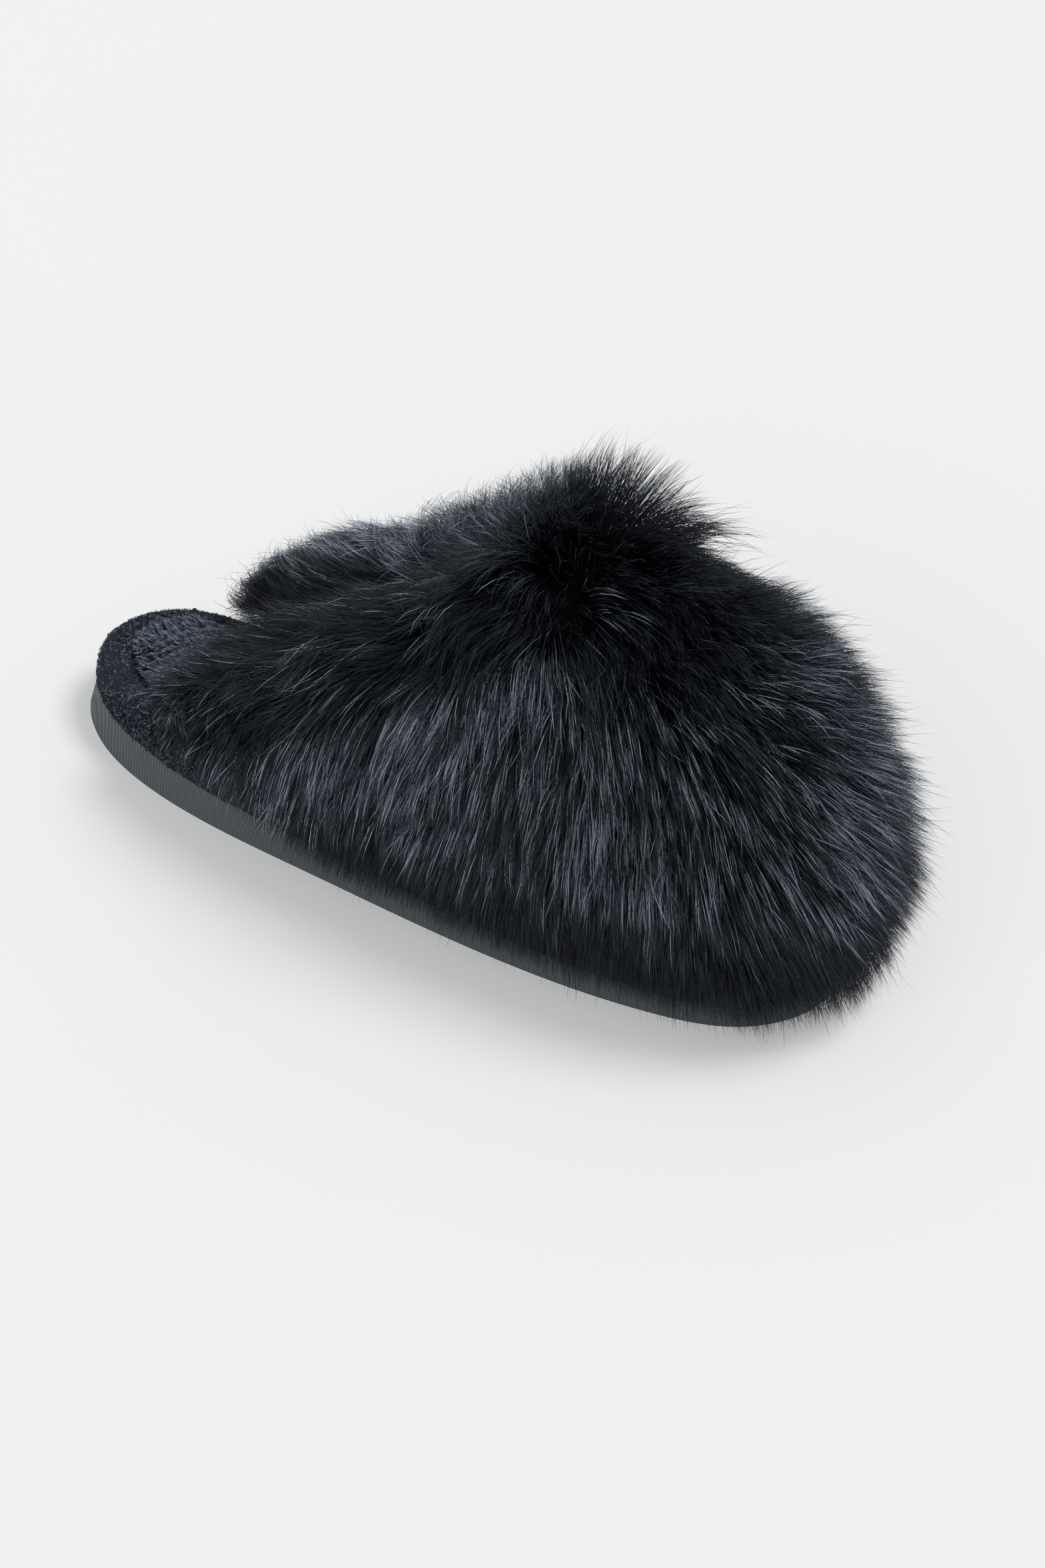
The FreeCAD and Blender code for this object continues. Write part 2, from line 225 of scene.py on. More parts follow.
def look_up(grid, turn, rise):
    """Points of a turns-by-rises grid between its nodes."""
    across = np.clip((turn + 1) / 2 * (len(TURNS) - 1), 0, len(TURNS) - 1.001)
    upward = np.clip(rise * (len(RISES) - 1), 0, len(RISES) - 1.001)
    i, j = across.astype(int), upward.astype(int)
    s, r = (across - i)[..., None], (upward - j)[..., None]
    return ((grid[i, j] * (1 - s) + grid[i + 1, j] * s) * (1 - r)
            + (grid[i, j + 1] * (1 - s) + grid[i + 1, j + 1] * s) * r)


def upper(turn, rise, depth):
    depth = np.asarray(depth)[..., None]
    return mix(look_up(OUTER_GRID, turn, rise), look_up(INNER_GRID, turn, rise), depth)


def cuff_start(turn):
    return np.interp(turn, TURNS, CUFF_START)


def backing_depth(turn, rise):
    """Depth of the fur fabric: it comes closer to the outside towards the throat."""
    front = smooth_step(0.66 - np.abs(turn), 0.0, 0.40)
    return BACKING - BACKING_RISE * front * smooth_step(rise, 0.40, 0.88)


# --- mesh building

def add_mesh(name, points, faces):
    mesh = bpy.data.meshes.new(name)
    mesh.from_pydata(points.tolist(), [], faces)
    mesh.polygons.foreach_set("use_smooth", [True] * len(mesh.polygons))
    piece = bpy.data.objects.new(name, mesh)
    bpy.context.scene.collection.objects.link(piece)
    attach(piece, "root")
    return piece


def grid_faces(rows, columns, close_rows=False, close_columns=False, start=0):
    """Quads of a rows-by-columns grid of vertices."""
    faces = []
    for i in range(rows if close_rows else rows - 1):
        for j in range(columns if close_columns else columns - 1):
            a, b = i * columns + j, i * columns + (j + 1) % columns
            c = ((i + 1) % rows) * columns + (j + 1) % columns
            d = ((i + 1) % rows) * columns + j
            faces.append((start + a, start + b, start + c, start + d))
    return faces


def ripple(points, size, seed, waves=14):
    """Smooth noise of about unit strength, with features about size across."""
    dice = np.random.default_rng(seed)
    ways = unit(dice.normal(size=(waves, 3))) * dice.uniform(0.6, 1.5, (waves, 1))
    phases = dice.uniform(0, 2 * np.pi, waves)
    return np.sin(points @ (ways.T * 2 * np.pi / size / 2) + phases).sum(-1) / math.sqrt(waves / 2)


def ripple_vector(points, size, seed):
    return np.stack([ripple(points, size, seed + k) for k in range(3)], -1)


RINGS = 5                                  # joints of a long strand
FACES_PER_PIECE = 190000                   # triangles in one mesh at most; the exporter thins out pieces over 200,000


def strand_piece(name, paths, radius, tints, shades, node):
    """One mesh of closed three-sided strands. paths holds a row of points per strand, root
    first. shades has a root, a middle and a tip material for every tint."""
    count, rings = len(paths), paths.shape[1] - 1
    along = unit(np.diff(paths, axis=1))
    side = np.cross(along.mean(1), RANDOM.normal(size=(count, 3)))
    taper = np.interp(np.arange(rings) / rings, [0, 0.2, 0.55, 0.8], [0.8, 1.0, 0.92, 0.6])
    verts = np.empty((count, 3 * rings + 1, 3))
    for ring in range(rings):
        ahead = along[:, ring]
        one = unit(side - ahead * dot(side, ahead))
        other = np.cross(ahead, one)
        for corner in range(3):
            angle = 2 * np.pi * corner / 3
            spread = one * math.cos(angle) + other * math.sin(angle)
            verts[:, ring * 3 + corner] = (paths[:, ring]
                                           + spread * (radius * taper[ring])[:, None])
    verts[:, -1] = paths[:, -1]
    quads, quad_levels = [], []
    for ring in range(rings - 1):
        for corner in range(3):
            low, high = ring * 3 + corner, ring * 3 + (corner + 1) % 3
            quads.append((low, high, high + 3, low + 3))
            quad_levels.append(min(2, int(3 * ring / (rings - 1))))
    last = 3 * (rings - 1)
    caps = [(2, 1, 0)] + [(last + c, last + (c + 1) % 3, 3 * rings) for c in range(3)]
    cap_levels = [0, 2, 2, 2]
    offsets = (np.arange(count) * (3 * rings + 1))[:, None]
    quad_loops = (np.array(quads).reshape(1, -1) + offsets).reshape(-1)
    cap_loops = (np.array(caps).reshape(1, -1) + offsets).reshape(-1)
    sizes = np.concatenate([np.full(count * len(quads), 4), np.full(count * len(caps), 3)])
    levels = np.concatenate([(tints[:, None] * 3 + np.array(quad_levels)[None]).reshape(-1),
                             (tints[:, None] * 3 + np.array(cap_levels)[None]).reshape(-1)])
    mesh = bpy.data.meshes.new(name)
    mesh.vertices.add(count * (3 * rings + 1))
    mesh.vertices.foreach_set("co", verts.reshape(-1))
    mesh.loops.add(len(quad_loops) + len(cap_loops))
    mesh.loops.foreach_set("vertex_index", np.concatenate([quad_loops, cap_loops]))
    mesh.polygons.add(len(sizes))
    mesh.polygons.foreach_set("loop_start", np.concatenate([[0], np.cumsum(sizes)[:-1]]))
    mesh.polygons.foreach_set("loop_total", sizes)
    for shade in shades:
        mesh.materials.append(shade)
    mesh.polygons.foreach_set("material_index", levels)
    mesh.polygons.foreach_set("use_smooth", np.ones(len(sizes), dtype=bool))
    mesh.update()
    mesh.validate()
    piece = bpy.data.objects.new(name, mesh)
    bpy.context.scene.collection.objects.link(piece)
    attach(piece, "root")
    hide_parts(node)
    return piece


def split_into_pieces(name, paths, order, tints, radius, shades, node):
    """Strands in several meshes, each under the exporter's face limit."""
    most = FACES_PER_PIECE // (6 * paths.shape[1] - 8)
    ranks = np.argsort(order)
    parts = -(-len(ranks) // most)
    for number, chosen in enumerate(np.array_split(ranks, parts), start=1):
        strand_piece(f"{name}_{number:02d}", paths[chosen], radius[chosen], tints[chosen],
                     shades, node)


# --- materials

SOCKETS = {"specular": "Specular IOR Level", "sheen": "Sheen Weight",
           "sheen_roughness": "Sheen Roughness"}


def new_material(name, color, roughness, **settings):
    material = bpy.data.materials.new(name)
    material.use_nodes = True
    shader = material.node_tree.nodes["Principled BSDF"]
    shader.inputs["Base Color"].default_value = (*color, 1)
    shader.inputs["Roughness"].default_value = roughness
    for socket, value in settings.items():
        shader.inputs[SOCKETS[socket]].default_value = value
    return material, shader


class Nodes:
    """Short helper for chains of shader nodes."""

    def __init__(self, material):
        self.tree = material.node_tree
        self.coords = self.add("ShaderNodeTexCoord").outputs["Object"]

    def add(self, kind, **settings):
        node = self.tree.nodes.new(kind)
        for key, value in settings.items():
            setattr(node, key, value)
        return node

    def link(self, output, target):
        self.tree.links.new(output, target)

    def noise(self, scale, detail=3.0, roughness=0.55):
        node = self.add("ShaderNodeTexNoise")
        node.inputs["Scale"].default_value = scale
        node.inputs["Detail"].default_value = detail
        node.inputs["Roughness"].default_value = roughness
        self.link(self.coords, node.inputs["Vector"])
        return node.outputs["Fac"]

    def ramp(self, source, stops):
        node = self.add("ShaderNodeValToRGB")
        while len(node.color_ramp.elements) < len(stops):
            node.color_ramp.elements.new(0.5)
        for element, (place, color) in zip(node.color_ramp.elements, stops):
            element.position = place
            element.color = (*color, 1)
        self.link(source, node.inputs["Fac"])
        return node.outputs["Color"]

    def math(self, operation, one, other):
        node = self.add("ShaderNodeMath", operation=operation)
        for socket, value in zip(node.inputs, (one, other)):
            if isinstance(value, (int, float)):
                socket.default_value = value
            else:
                self.link(value, socket)
        return node.outputs["Value"]

    def bump(self, height, distance):
        node = self.add("ShaderNodeBump")
        node.inputs["Distance"].default_value = distance
        node.inputs["Strength"].default_value = 1.0
        self.link(height, node.inputs["Height"])
        return node.outputs["Normal"]


def cloth_material(name, dark, light, scale, bump, sheen=0.25):
    """Matte fabric: mottled colour and a fine nap."""
    material, shader = new_material(name, dark, 0.95, sheen=sheen, sheen_roughness=0.4,
                                    specular=0.25)
    nodes = Nodes(material)
    mottle = nodes.noise(scale, 5.0, 0.65)
    nodes.link(nodes.ramp(mottle, [(0.32, dark), (0.70, light)]), shader.inputs["Base Color"])
    nap = nodes.noise(scale * 5, 3.0, 0.6)
    nodes.link(nodes.bump(nap, bump), shader.inputs["Normal"])
    return material


def sole_material():
    """Foam rubber with a fine raised diagonal cross-hatch."""
    material, shader = new_material("sole_rubber", (0.050, 0.060, 0.066), 0.62,
                                    specular=0.4)
    nodes = Nodes(material)
    split = nodes.add("ShaderNodeSeparateXYZ")
    nodes.link(nodes.coords, split.inputs["Vector"])
    waves = 2 * math.pi / HATCH
    way = nodes.math("ADD", split.outputs["X"], nodes.math("MULTIPLY", split.outputs["Y"], 0.8))
    rising = nodes.math("MULTIPLY", nodes.math("ADD", way, split.outputs["Z"]), waves)
    falling = nodes.math("MULTIPLY", nodes.math("SUBTRACT", way, split.outputs["Z"]), waves)
    dots = nodes.math("MULTIPLY", nodes.math("SINE", rising, 0.0),
                      nodes.math("SINE", falling, 0.0))
    raised = nodes.math("ADD", nodes.math("MULTIPLY", dots, 0.5), 0.5)
    # Painted light and shade: the hatch's ridges are painted lighter and its grooves darker on the
    # one rubber.
    color = nodes.ramp(raised, [(0.15, (0.040, 0.050, 0.057)), (0.85, (0.112, 0.131, 0.144))])
    nodes.link(color, shader.inputs["Base Color"])
    grain = nodes.math("ADD", dots, nodes.math("MULTIPLY", nodes.noise(900.0, 2.0), 0.4))
    nodes.link(nodes.bump(grain, 0.14 * MM), shader.inputs["Normal"])
    return material


# In all three tables the roots are darker partly as painted shade deep in the pile; in the fur,
# the lightest tint partly stands in as painted highlights on single strands.
FUR_TINTS = [              # root, middle and tip, from the darkest strands to the lightest
    [(0.0008, 0.0010, 0.0015), (0.0020, 0.0024, 0.0035), (0.004, 0.005, 0.007)],
    [(0.0012, 0.0015, 0.0022), (0.0058, 0.0070, 0.0100), (0.014, 0.017, 0.024)],
    [(0.0025, 0.0030, 0.0042), (0.0330, 0.0390, 0.0520), (0.075, 0.088, 0.112)],
    [(0.0060, 0.0072, 0.0098), (0.1750, 0.2020, 0.2500), (0.400, 0.445, 0.520)],
]
FLEECE_TINTS = [
    [(0.0040, 0.0047, 0.0064), (0.0105, 0.0124, 0.0168), (0.019, 0.023, 0.031)],
    [(0.0068, 0.0081, 0.0110), (0.0290, 0.0340, 0.0450), (0.056, 0.066, 0.086)],
    [(0.0115, 0.0136, 0.0182), (0.0660, 0.0765, 0.1000), (0.132, 0.153, 0.195)],
    [(0.0180, 0.0212, 0.0282), (0.1500, 0.1730, 0.2180), (0.330, 0.376, 0.455)],
]
PLUSH_TINTS = [
    [(0.0095, 0.0113, 0.0156), (0.0350, 0.0412, 0.0560), (0.068, 0.080, 0.107)],
    [(0.0135, 0.0160, 0.0220), (0.0620, 0.0728, 0.0975), (0.122, 0.143, 0.186)],
    [(0.0195, 0.0231, 0.0316), (0.1050, 0.1226, 0.1610), (0.205, 0.238, 0.302)],
    [(0.0280, 0.0332, 0.0445), (0.1700, 0.1970, 0.2540), (0.330, 0.380, 0.470)],
]


def shade_set(name, tints, roughness, specular):
    shades = []
    for tint, colors in enumerate(tints):
        for level, color in zip(("root", "middle", "tip"), colors):
            material, shader = new_material(f"{name}_{tint}_{level}", color, roughness,
                                            specular=specular)
            shader.inputs["Specular Tint"].default_value = (0.72, 0.83, 1.0, 1)
            shades.append(material)
    return shades


# --- strands

FIRST_LEAN = 0.30                               # of a strand at its root, radians
BEND = np.radians(np.linspace(5, 170, 166))     # how far it may lean at its tip
FRIZZ = 0.22 * MM


def lean_for(height_share):
    """Lean at the tip that brings a strand to a share of its own length in height."""
    shares = (np.sin(BEND) - np.sin(FIRST_LEAN)) / (BEND - FIRST_LEAN + 1e-9)
    order = np.argsort(shares)
    return np.interp(height_share, shares[order], BEND[order])


def grow(roots, normals, flow, lengths, heights, hang, seed):
    """Centre lines of strands that leave along the normal and bend over into the flow, so
    that their tips stand about heights above the backing."""
    flow = unit(flow - normals * dot(flow, normals))
    tip_lean = lean_for(np.clip(heights / lengths, -0.2, 0.94))
    paths = np.empty((len(roots), RINGS + 1, 3))
    paths[:, 0] = roots
    place = roots.copy()
    for step in range(RINGS):
        share = (step + 0.5) / RINGS
        lean = mix(FIRST_LEAN, tip_lean, share)[:, None]
        way = normals * np.cos(lean) + flow * np.sin(lean) + HANG * hang * share ** 1.5
        place = place + unit(way) * (lengths / RINGS)[:, None]
        paths[:, step + 1] = place
    wobble = ripple_vector(roots, 1.1 * MM, seed + 11)
    curl = ripple_vector(roots, 2.3 * MM, seed + 17)
    for step in range(1, RINGS + 1):
        share = step / RINGS
        paths[:, step] += (wobble * math.sin(share * 2.6) + curl * share ** 2) * FRIZZ
    return paths


def locks_of(roots, count, seed):
    """The lock each strand belongs to, as the number of the strand in its middle."""
    dice = np.random.default_rng(seed)
    count = min(count, len(roots))
    guides = dice.choice(len(roots), count, replace=False)
    tree = kdtree.KDTree(count)
    for number, guide in enumerate(guides):
        tree.insert(roots[guide], number)
    tree.balance()
    return guides[[tree.find(root)[1] for root in roots]]


def per_lock(locks, seed, low=0.0, high=1.0):
    """One random value for every lock, given to each of its strands."""
    return np.random.default_rng(seed).uniform(low, high, len(locks))[locks]


def gather(paths, locks, strength, power, seed):
    """Draws the strands of a lock together, more so towards their tips."""
    pull = strength * per_lock(locks, seed, 0.45, 1.15)
    drawn = paths.copy()
    for step in range(1, paths.shape[1]):
        share = (step / (paths.shape[1] - 1)) ** power
        weight = np.clip(pull * share, 0, 0.92)[:, None]
        drawn[:, step] = mix(paths[:, step], paths[locks, step], weight)
    return drawn


def keep_off_floor(paths, lowest):
    """Shortens strands whose tip would hang below the hem."""
    roots = paths[:, :1]
    drop = np.maximum(roots[:, 0, 2] - paths[..., 2].min(1), 1e-6)
    room = np.maximum(roots[:, 0, 2] - lowest, 1e-6)
    share = np.clip(room / drop, 0.10, 1)[:, None, None]
    return roots + (paths - roots) * share


def lie_on_footbed(paths):
    """Lifts strands that would pass through the platform, so that they lie on it."""
    laid = paths.copy()
    clearance = 2.6 * MM
    laid[:, 1:, 2] = np.maximum(paths[:, 1:, 2], deck(paths[:, 1:, 0]) + clearance)
    return laid


def hem(roots, seed):
    """How low strands hang: over the sole at the sides, only to the platform's edge where
    the upper ends at the back."""
    free = smooth_step(roots[:, 0], UPPER_BACK + 20 * MM, UPPER_BACK + 66 * MM)
    ragged = np.random.default_rng(seed).normal(size=len(roots)) * 1.3 * MM
    lowest = mix(deck(roots[:, 0]) - 2.5 * MM, 5.8 * MM, free)
    return np.maximum(lowest + ragged * mix(1.0, 1.4, free), 0.6 * MM)


# Outline of the brushed pile seen from the side: distance from the heel, height.
BRUSHED_TOP = MM * np.array([
    (0, 6), (14, 12), (30, 21), (52, 43), (88, 86), (125, 122), (142, 142), (150, 151),
    (160, 149), (167, 138), (188, 137), (198, 130), (228, 121), (260, 100), (292, 68)])


def press_down(paths, slack):
    """Lays down strands that stand above the brushed outline."""
    tips = paths[:, -1]
    ceiling = np.interp(tips[:, 0] - HEEL[0], BRUSHED_TOP[:, 0], BRUSHED_TOP[:, 1]) + slack
    ceiling = np.minimum(ceiling, HIGHEST_TIP)
    rise = np.maximum(tips[:, 2] - paths[:, 0, 2], 1e-6)
    share = np.clip((ceiling - paths[:, 0, 2]) / rise, 0.15, 1)[:, None]
    share = np.where((tips[:, 2] > ceiling)[:, None], share, 1.0)
    pressed = paths.copy()
    pressed[..., 2] = paths[:, :1, 2] + (paths[..., 2] - paths[:, :1, 2]) * share
    return pressed


def scatter(count, rise_high):
    """Even scatter over the upper below rise_high: turn and rise of count roots."""
    found_turns, found_rises = [], []
    need = count
    width = np.linalg.norm(np.diff(OUTER_GRID, axis=0)[:, :-1], axis=-1)
    height = np.linalg.norm(np.diff(OUTER_GRID, axis=1)[:-1], axis=-1)
    area = width * height
    while need > 0:
        turn = RANDOM.uniform(-FUR_TURN, FUR_TURN, need * 4)
        rise = RANDOM.uniform(0, 1, need * 4)
        i = np.clip(((turn + 1) / 2 * (len(TURNS) - 1)).astype(int), 0, area.shape[0] - 1)
        j = np.clip((rise * (len(RISES) - 1)).astype(int), 0, area.shape[1] - 1)
        keep = (RANDOM.uniform(0, area.max(), len(turn)) < area[i, j]) & (rise <= rise_high(turn))
        found_turns.append(turn[keep][:need])
        found_rises.append(rise[keep][:need])
        need -= len(found_turns[-1])
    return np.concatenate(found_turns), np.concatenate(found_rises)


def frame_at(turn, rise, depth):
    """Point, outward normal and downhill direction on a surface of the upper."""
    here = upper(turn, rise, depth)
    step_turn, step_rise = 0.004, 0.006
    across = upper(np.minimum(turn + step_turn, 1), rise, depth) - upper(
        np.maximum(turn - step_turn, -1), rise, depth)
    upward = upper(turn, np.minimum(rise + step_rise, 1), depth) - upper(
        turn, np.maximum(rise - step_rise, 0), depth)
    return here, unit(np.cross(across, upward)), -unit(upward)


def pick_tints(shade, seed):
    """Tint of each strand. shade is 0 where the pile is painted darkest and 1 where lightest; it
    carries painted shade as well as random tone.
    """
    draw = np.random.default_rng(seed).uniform(0, 1, len(shade)) + (shade - 0.5) * 0.7
    return np.digitize(draw, [0.28, 0.60, 0.88]).astype(int)


def let_stray(combed, paths, share, spread, seed):
    """Lets a share of the strands leave their lock and wander."""
    dice = np.random.default_rng(seed)
    chosen = dice.uniform(size=len(paths)) < share
    sway = dice.normal(size=(chosen.sum(), 1, 3))
    growth = np.linspace(0, 1, paths.shape[1])[None, :, None] ** 1.6
    combed[chosen] = paths[chosen] + sway * growth * spread
    return combed


def undercoat(lengths, share):
    """Shortens a share of the strands."""
    under = RANDOM.uniform(size=len(lengths)) < share
    lengths[under] *= RANDOM.uniform(0.35, 0.6, under.sum())
    return lengths


def radii(low, high, count):
    return RANDOM.uniform(low, high, count) * MM * 1


# The hair parts at a crown on the cuff's front, with a standing tuft behind it.
CROWN = upper(np.array([0.05]), np.array([0.95]), np.array([BACKING - BACKING_RISE]))[0]
TUFT = upper(np.array([0.20]), np.array([0.98]), np.array([BACKING - BACKING_RISE]))[0]


# --- vamp's fur

def vamp_strands():
    """Strands of the vamp: centre lines, turns and tints. They flow away from the crown,
    hang at the sides, and lie short in the valley in front of the cuff."""
    count = int(VAMP_STRANDS * SHARE)
    turn, rise = scatter(count, lambda turn: cuff_start(turn) + 0.02)
    root, normal, downhill = frame_at(turn, rise, backing_depth(turn, rise))
    edge = upper(turn, rise, np.zeros(count))
    room = np.abs(dot(edge - root, normal))[:, 0]
    away = root - CROWN
    distance = np.linalg.norm(away, axis=1)
    near = smooth_step(-turn, 0.06, 0.50)
    toe = smooth_step(0.40 - np.abs(turn), 0.0, 0.30)
    low = smooth_step(0.30 - rise, 0.0, 0.22)
    valley = (smooth_step(rise - cuff_start(turn), -0.24, -0.04)
              * smooth_step(turn, -0.34, -0.14) * smooth_step(0.40 - turn, 0.0, 0.2))
    ridge = (smooth_step(rise - cuff_start(turn), -0.30, -0.06)
             * smooth_step(turn, 0.12, 0.30) * smooth_step(0.75 - turn, 0.0, 0.2))
    pull = 0.20 + 1.30 * near * smooth_step(distance, 35 * MM, 95 * MM)
    back_end = smooth_step(UPPER_BACK + 45 * MM - root[:, 0], 0.0, 40 * MM)
    far_corner = back_end * smooth_step(turn, 0.3, 0.6)
    wide = locks_of(root, int(900 * SHARE ** 0.5), 5)
    fine = locks_of(root, int(9500 * SHARE), 6)
    flow = (unit(away) * (1 - 0.5 * back_end)[:, None] + HANG * pull[:, None] + downhill * 0.30
            + ripple_vector(root, 30 * MM, 3) * 0.14 + ripple_vector(root, 9 * MM, 8) * 0.15
            + RANDOM.normal(size=(count, 3)) * (0.18 + 0.16 * back_end)[:, None])
    flow += np.stack([per_lock(fine, 30 + axis, -1, 1) for axis in range(3)], 1) * 0.28
    flow += ripple_vector(root, 6 * MM, 23) * 0.5 * valley[:, None]
    lengths = 30 * MM * RANDOM.uniform(0.84, 1.10, count) * per_lock(fine, 34, 0.84, 1.08)
    lengths = undercoat(lengths, 0.18)
    lengths *= mix(1.0, 0.86, low) * mix(1.0, 0.62, valley) * mix(1.0, 1.08, toe)
    lengths *= mix(1.0, 0.62, back_end) * mix(1.0, 0.50, far_corner)
    heights = room * RANDOM.uniform(0.86, 1.10, count) * per_lock(fine, 35, 0.62, 1.10)
    heights += toe * 4.5 * MM + ridge * 5.0 * MM + ripple(root, 14 * MM, 29) * 1.1 * MM
    heights = np.clip(heights * mix(1.0, 0.6, valley) * mix(1.0, 0.25, far_corner),
                      mix(3 * MM, 1.2 * MM, far_corner), None)
    paths = grow(root, normal, flow, lengths, heights, hang=0.30, seed=20)
    loose = 1 - 0.45 * np.maximum(back_end, low)
    combed = gather(gather(paths, wide, 0.26 * loose, 1.5, 36), fine, 0.60 * loose, 1.3, 37)
    combed = let_stray(combed, paths, 0.16 + 0.20 * back_end, 3.2 * MM, 40)
    # Painted shade: darker tints in the valley under the cuff, towards the hem and round the
    # crown; broad patches and locks vary at random.
    shade = (0.48 + 0.10 * ripple(root, 26 * MM, 71) - 1.10 * valley - 1.05 * low
             - 0.85 * smooth_step(34 * MM - distance, 0, 24 * MM)
             + per_lock(fine, 38, -0.40, 0.40) + per_lock(wide, 39, -0.15, 0.15))
    slack = per_lock(fine, 42, -4.0, 4.0) * MM + per_lock(wide, 43, -2.5, 2.5) * MM
    combed = press_down(keep_off_floor(combed, hem(root, 41)), slack)
    return combed, turn, pick_tints(shade, 72)


# --- cuff's fur

FOLD_DEPTH = [0.0, 0.0, 0.2, 0.5, 0.85, 1.0, 1.0]      # share of the way from backing to inside
FOLD_RISE = [0.0, 0.72, 0.93, 1.0, 0.95, 0.80, 0.45]   # share of the way from seam to edge


def cuff_surface(turn, fold):
    """Point on the folded cuff. fold runs from 0 at the seam over the edge to 1 inside."""
    places = np.linspace(0, 1, len(FOLD_DEPTH))
    rise = mix(cuff_start(turn), 1.0, np.interp(fold, places, FOLD_RISE))
    depth = mix(backing_depth(turn, rise), 1.0, np.interp(fold, places, FOLD_DEPTH))
    return upper(turn, rise, depth)


def cuff_frame(turn, fold):
    """Point and outward normal on the folded cuff."""
    here = cuff_surface(turn, fold)
    step_turn, step_fold = 0.006, 0.05
    across = cuff_surface(np.minimum(turn + step_turn, 1), fold) - cuff_surface(
        np.maximum(turn - step_turn, -1), fold)
    over = cuff_surface(turn, np.minimum(fold + step_fold, 1)) - cuff_surface(
        turn, np.maximum(fold - step_fold, 0))
    return here, unit(np.cross(across, over))


def cuff_strands():
    """Strands of the cuff: centre lines, turns and tints. They stand at the front and on
    the far side, hang on the near side, and lie back over the footbed at both ends."""
    count = int(CUFF_STRANDS * SHARE)
    fold = RANDOM.uniform(0, 1, count)
    turn = RANDOM.uniform(-FUR_TURN, FUR_TURN, count)
    root, normal = cuff_frame(turn, fold)
    away = root - CROWN
    distance = np.linalg.norm(away, axis=1)
    near = smooth_step(-turn, 0.16, 0.36)
    far = smooth_step(turn, 0.26, 0.46)
    front = (1 - near) * (1 - far)
    near_end = smooth_step(-turn, 0.66, 0.96)
    far_end = smooth_step(turn, 0.50, 0.92)
    inside = smooth_step(fold, 0.55, 0.85)
    tuft = smooth_step(13 * MM - np.linalg.norm(root - TUFT, axis=1), 0, 9 * MM)
    upward = np.array([-0.10, 0.0, 1.0])
    standing = np.array([0.38, 0.0, 1.0])
    forward = np.array([1.0, 0.25, 0.10])
    back = np.array([-1.0, 0.0, 0.0])
    wide = locks_of(root, int(600 * SHARE ** 0.5), 15)
    fine = locks_of(root, int(5600 * SHARE), 16)
    flow = (unit(away) * (mix(1.0, 0.40, far) * (1 - 0.7 * near_end))[:, None]
            + forward * (front * (1 - inside))[:, None]
            + HANG * (0.22 * near * (1 - inside) + 0.7 * near_end + 0.5 * far_end)[:, None]
            + back * (0.40 * far + 1.8 * far_end)[:, None]
            + upward * (far * mix(1.05, 0.0, far_end)
                        + 0.5 * inside * (1 - near) * (1 - far_end))[:, None]
            + standing * (2.5 * tuft)[:, None]
            + ripple_vector(root, 20 * MM, 53) * 0.20 + ripple_vector(root, 7 * MM, 58) * 0.24
            + RANDOM.normal(size=(count, 3)) * (0.16 + 0.35 * near_end)[:, None])
    flow += np.stack([per_lock(fine, 80 + axis, -1, 1) for axis in range(3)], 1) * 0.34
    lengths = mix(31 * MM, 26 * MM, inside) * RANDOM.uniform(0.84, 1.10, count)
    lengths *= (1 + 0.24 * front) * (1 - 0.52 * near_end)
    lengths *= 1 - 0.10 * front * smooth_step(turn, 0.10, 0.24) * (1 - inside)
    outer = smooth_step(root[:, 1], 22 * MM, 38 * MM)
    lengths *= 1 + far_end * mix(0.25, -0.62, outer)
    lengths *= per_lock(fine, 84, 0.80, 1.10)
    lengths = undercoat(lengths, 0.20)
    room = np.linalg.norm(upper(turn, np.ones(count), np.zeros(count))
                          - upper(turn, np.ones(count), backing_depth(turn, np.ones(count))),
                          axis=1)
    heights = room * RANDOM.uniform(0.86, 1.10, count) * per_lock(fine, 85, 0.60, 1.15)
    heights = heights * mix(1.0, 0.85, inside) + front * 13.0 * MM + tuft * 12 * MM
    heights *= (1 + 0.16 * ripple(root, 11 * MM, 77)) * (1 - 0.90 * far_end)
    paths = grow(root, normal, flow, lengths, heights, hang=0.10, seed=90)
    loose = 1 - 0.55 * np.maximum(near_end, far_end)
    combed = gather(gather(paths, wide, 0.30 * loose, 1.5, 86), fine, 0.64 * loose, 1.2, 87)
    combed = let_stray(combed, paths, 0.17 + 0.25 * near_end, 3.4 * MM, 140)
    # Painted shade: darker tints round the crown (less in the tuft) and in patches inside the fold
    # on the far side. The tint is also darker on the near side and lighter on the far side;
    # patches and locks vary at random.
    shade = (0.50 + 0.10 * ripple(root, 20 * MM, 73) - 0.40 * near + 0.18 * far
             - 0.90 * smooth_step(30 * MM - distance, 0, 18 * MM) * (1 - 0.7 * tuft)
             - (0.55 + 0.35 * ripple(root, 15 * MM, 75)) * far * inside
             + per_lock(fine, 88, -0.45, 0.45) + per_lock(wide, 89, -0.15, 0.15))
    slack = per_lock(fine, 142, -7.0, 6.0) * MM + per_lock(wide, 143, -4.0, 4.0) * MM
    slack *= mix(1.0, 0.45, front)
    on_footbed = (np.maximum(near_end, far_end) > 0.25) & (fold > 0.30)
    combed = np.where(on_footbed[:, None, None], lie_on_footbed(combed),
                      keep_off_floor(combed, hem(root, 141)))
    return press_down(combed, slack), turn, pick_tints(shade, 74)


def make_fur(shades):
    for name, grower, node in (("fur_vamp_pile", vamp_strands, "fur_vamp"),
                               ("fur_collar_pile", cuff_strands, "fur_collar")):
        paths, turn, tints = grower()
        radius = radii(0.060, 0.110, len(paths))
        radius[tints == 3] *= 1.35
        split_into_pieces(name, paths, turn, tints, radius, shades, node)


# --- backing and lining

